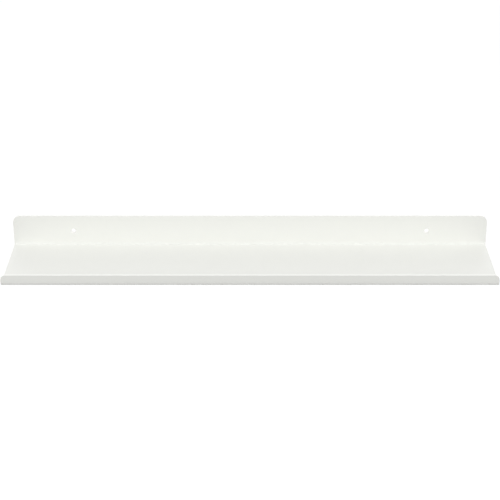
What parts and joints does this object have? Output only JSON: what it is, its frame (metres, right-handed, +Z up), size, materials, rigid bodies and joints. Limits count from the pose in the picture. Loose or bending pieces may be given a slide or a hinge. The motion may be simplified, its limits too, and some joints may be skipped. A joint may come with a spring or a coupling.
{
  "type": "floating wall shelf",
  "caption": "Floating wall shelf folded from powder-coated sheet steel: upright back plate with round screw holes, flat shelf and low upturned front lip.",
  "frame": {"origin": "midway between the two screw hole centres, on the face of the back plate that lies against the wall", "axes": "+X along the shelf, +Y into the wall, +Z up; the shelf stands out towards -Y"},
  "size_m": [0.6, 0.12, 0.042],
  "materials": {
    "powder_coat": "satin warm white powder coat with a fine orange-peel texture, over sheet steel"
  },
  "bodies": {
    "root": {"shelf_sheet": "powder_coat"}
  },
  "joints": []
}
